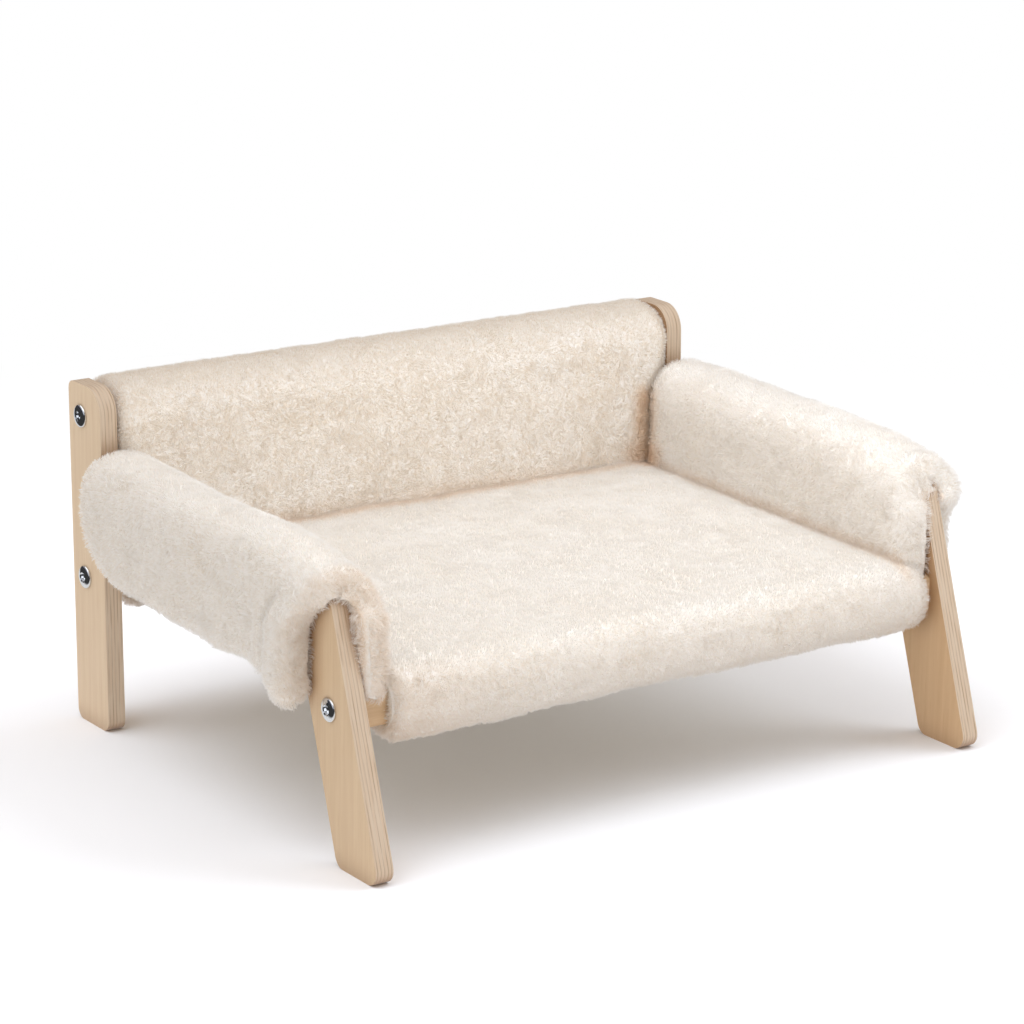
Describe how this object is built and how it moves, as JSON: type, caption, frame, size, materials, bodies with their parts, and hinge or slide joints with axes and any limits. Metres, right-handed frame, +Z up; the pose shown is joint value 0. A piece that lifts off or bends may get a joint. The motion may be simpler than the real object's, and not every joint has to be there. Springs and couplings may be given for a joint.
{
  "type": "dog sofa bed",
  "caption": "Low pet sofa: bolted plywood side frames with leaning front legs, joined by cross rails, with a plush padded seat, back and arms.",
  "frame": {"origin": "centre of the footprint, on the floor under the feet", "axes": "+X to the sofa's right side as seen from the front, +Y towards the back, +Z up"},
  "size_m": [0.622, 0.468, 0.2855],
  "materials": {
    "birch_plywood": "satin clear lacquer, visible edge plies",
    "birch_rail": "planed solid wood",
    "chrome": "bright plated",
    "steel": "zinc plated",
    "plush": "dense short-pile faux fur",
    "wadding": "polyester wadding and foam",
    "canvas": "plain woven canvas",
    "lining": "thin non-woven cloth",
    "hook_tape": "hook and loop tape"
  },
  "bodies": {
    "root": {"left_side_panel": "birch_plywood", "right_side_panel": "birch_plywood", "front_seat_rail": "birch_rail", "rear_seat_rail": "birch_rail", "top_back_rail": "birch_rail", "connector_bolts": "chrome", "barrel_nuts": "steel", "locating_dowels": "birch_rail", "seat_sling": "canvas", "seat_pad": "wadding", "seat_lining": "lining", "seat_cover": "plush", "front_rail_padding": "wadding", "rear_rail_padding": "wadding", "top_rail_padding": "wadding", "back_pad": "wadding", "back_cover": "plush", "left_arm_lining": "lining", "right_arm_lining": "lining", "left_arm_pad": "wadding", "right_arm_pad": "wadding", "left_arm_cover": "plush", "right_arm_cover": "plush", "flap_hook_strips": "hook_tape", "flap_loop_strips": "hook_tape"}
  },
  "joints": []
}
